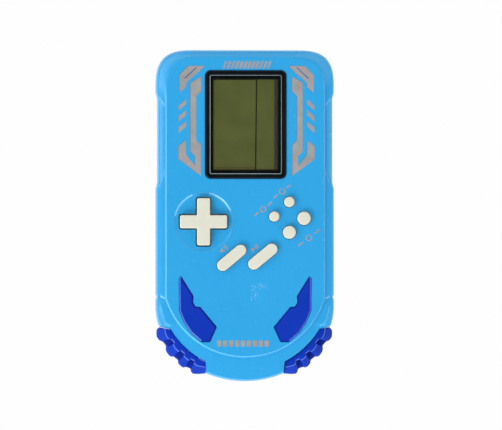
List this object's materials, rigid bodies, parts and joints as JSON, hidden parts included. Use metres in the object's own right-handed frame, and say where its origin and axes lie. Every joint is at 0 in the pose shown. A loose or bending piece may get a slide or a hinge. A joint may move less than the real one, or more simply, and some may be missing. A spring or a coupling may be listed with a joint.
{
  "type": "handheld lcd game",
  "caption": "Handheld electronic game with a recessed LCD screen, cross pad, push buttons, corner grips and a battery compartment in the back.",
  "frame": {"origin": "centre of the body's outline, on the flat back (bounding box bottom centre)", "axes": "+Y towards the screen end, +Z out of the front face, +X to the player's right; the game lies on its back"},
  "size_m": [0.0798, 0.148, 0.0264],
  "materials": {
    "light_blue_abs": "semi-gloss moulded ABS, light blue",
    "dark_blue_plastic": "semi-gloss moulded plastic, deep blue",
    "cream_button_plastic": "satin moulded plastic, cream",
    "black_bezel": "glossy black",
    "clear_lens": "clear acrylic window",
    "lcd_glass": "reflective LCD, switched off, olive",
    "white_holder": "satin white plastic",
    "keypad_rubber": "matt grey silicone rubber",
    "zebra_rubber": "matt",
    "circuit_board": "green solder mask",
    "black_epoxy": "black epoxy",
    "capacitor_sleeve": "dark blue sleeve",
    "piezo_brass": "satin brass",
    "battery_sleeve": "printed sleeve, plain",
    "nickel_contact": "nickel-plated spring steel",
    "red_wire": "PVC",
    "black_wire": "PVC",
    "zinc_screw": "zinc-plated steel"
  },
  "bodies": {
    "body": {"front_shell": "light_blue_abs", "rear_shell": "light_blue_abs", "left_grip": "dark_blue_plastic", "right_grip": "dark_blue_plastic", "left_inlay": "dark_blue_plastic", "right_inlay": "dark_blue_plastic", "screen_bezel": "black_bezel", "screen_lens": "clear_lens", "lcd_panel": "lcd_glass", "lcd_holder": "white_holder", "zebra_strip": "zebra_rubber", "dpad_membrane": "keypad_rubber", "button_membrane": "keypad_rubber", "pill_membrane": "keypad_rubber", "circuit_board": "circuit_board", "chip_blob": "black_epoxy", "capacitor": "capacitor_sleeve", "transistor": "black_epoxy", "buzzer": "piezo_brass", "battery_1": "battery_sleeve", "battery_2": "battery_sleeve", "contact_plus": "nickel_contact", "contact_minus_spring": "nickel_contact", "contact_bridge": "nickel_contact", "wire_red": "red_wire", "wire_black": "black_wire", "wire_buzzer_1": "red_wire", "wire_buzzer_2": "black_wire", "case_screw_1": "zinc_screw", "case_screw_2": "zinc_screw", "case_screw_3": "zinc_screw", "case_screw_4": "zinc_screw", "case_screw_5": "zinc_screw", "case_screw_6": "zinc_screw", "pcb_screw_1": "zinc_screw", "pcb_screw_2": "zinc_screw", "pcb_screw_3": "zinc_screw", "pcb_screw_4": "zinc_screw"},
    "dpad_nub": {"dpad_pivot": "white_holder"},
    "dpad": {"dpad": "cream_button_plastic"},
    "button_power": {"button_power": "cream_button_plastic"},
    "button_reset": {"button_reset": "cream_button_plastic"},
    "button_rotate_right": {"button_rotate_right": "cream_button_plastic"},
    "button_rotate_lower": {"button_rotate_lower": "cream_button_plastic"},
    "button_sound": {"button_sound": "cream_button_plastic"},
    "button_start": {"button_start": "cream_button_plastic"},
    "battery_door": {"battery_door": "light_blue_abs"}
  },
  "joints": [
    {"name": "dpad_tilt_x", "type": "hinge", "parent": "body", "child": "dpad_nub", "pos_m": [-0.0186, -0.00284, 0.019], "axis": [1, 0, 0], "range_deg": [-4.5, 4.5], "stiffness_Nm_per_rad": 0.05},
    {"name": "dpad_tilt_y", "type": "hinge", "parent": "dpad_nub", "child": "dpad", "pos_m": [-0.0186, -0.00284, 0.019], "axis": [0, 1, 0], "range_deg": [-4.5, 4.5], "stiffness_Nm_per_rad": 0.05},
    {"name": "button_power_press", "type": "slide", "parent": "body", "child": "button_power", "axis": [0, 0, -1], "range_m": [0, 0.001], "stiffness_N_per_m": 300, "springref_m": -0.0005},
    {"name": "button_reset_press", "type": "slide", "parent": "body", "child": "button_reset", "axis": [0, 0, -1], "range_m": [0, 0.001], "stiffness_N_per_m": 300, "springref_m": -0.0005},
    {"name": "button_rotate_right_press", "type": "slide", "parent": "body", "child": "button_rotate_right", "axis": [0, 0, -1], "range_m": [0, 0.001], "stiffness_N_per_m": 300, "springref_m": -0.0005},
    {"name": "button_rotate_lower_press", "type": "slide", "parent": "body", "child": "button_rotate_lower", "axis": [0, 0, -1], "range_m": [0, 0.001], "stiffness_N_per_m": 300, "springref_m": -0.0005},
    {"name": "button_sound_press", "type": "slide", "parent": "body", "child": "button_sound", "axis": [0, 0, -1], "range_m": [0, 0.001], "stiffness_N_per_m": 300, "springref_m": -0.0005},
    {"name": "button_start_press", "type": "slide", "parent": "body", "child": "button_start", "axis": [0, 0, -1], "range_m": [0, 0.001], "stiffness_N_per_m": 300, "springref_m": -0.0005},
    {"name": "battery_door_open", "type": "hinge", "parent": "body", "child": "battery_door", "pos_m": [0, -0.0529, 0.0004], "axis": [-1, 0, 0], "range_deg": [0, 70]}
  ]
}
